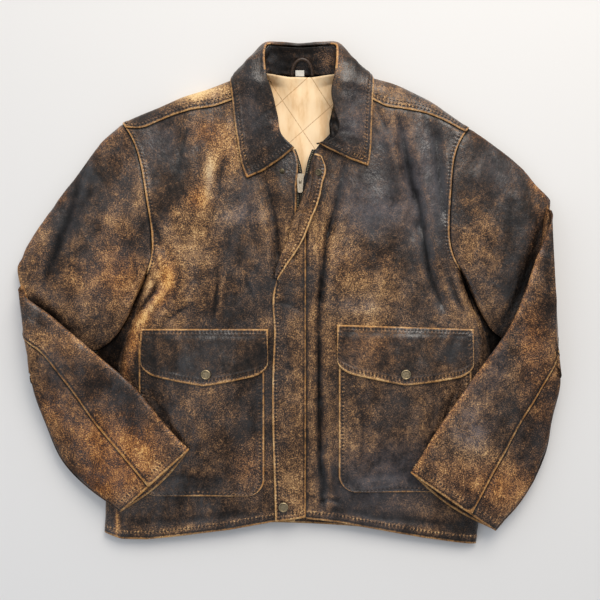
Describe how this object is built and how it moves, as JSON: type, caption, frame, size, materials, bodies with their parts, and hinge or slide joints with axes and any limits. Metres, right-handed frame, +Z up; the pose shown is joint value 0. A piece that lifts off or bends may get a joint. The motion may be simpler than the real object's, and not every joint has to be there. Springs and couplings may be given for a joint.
{
  "type": "leather jacket laid flat",
  "caption": "Worn leather blouson laid flat on its back: folded collar, part-open zip under a turned-back storm flap, flapped patch pockets, forearms folded over the front.",
  "frame": {"origin": "centre of the bounding box in plan, on the surface that the jacket lies on", "axes": "+Z up from that surface, +Y towards the collar, +X towards the side that the storm flap is sewn to"},
  "size_m": [0.8165, 0.756, 0.0456],
  "materials": {
    "shell_leather": "worn, semi-gloss",
    "collar_leather": "worn, semi-gloss",
    "quilted_lining": "matt, quilted",
    "zip_tape": "matt, woven",
    "brass": "antique, dulled",
    "tab_cloth": "matt, woven"
  },
  "bodies": {
    "jacket": {"back": "shell_leather", "lining_back": "quilted_lining", "front_left": "shell_leather", "front_right": "shell_leather", "sleeve_left_upper": "shell_leather", "sleeve_left_under": "shell_leather", "sleeve_right_upper": "shell_leather", "sleeve_right_under": "shell_leather", "collar_fall": "collar_leather", "collar_stand": "collar_leather", "storm_flap": "shell_leather", "snap_socket": "brass", "zip_tape_left": "zip_tape", "zip_tape_right": "zip_tape", "pocket_left": "shell_leather", "pocket_right": "shell_leather", "pocket_flap_left": "shell_leather", "pocket_flap_right": "shell_leather", "snap_cap_left": "brass", "snap_cap_right": "brass", "snap_cap_placket": "brass", "snap_stud": "brass", "zip_slider": "brass", "hanger_loop": "collar_leather", "size_tab": "tab_cloth"},
    "pull_tab": {"zip_pull_tab": "brass"}
  },
  "joints": [
    {"name": "pull_tab_hinge", "type": "hinge", "parent": "jacket", "child": "pull_tab", "pos_m": [0.016, 0.168, 0.03261], "axis": [-1, 0, 0], "range_deg": [0, 165]}
  ]
}
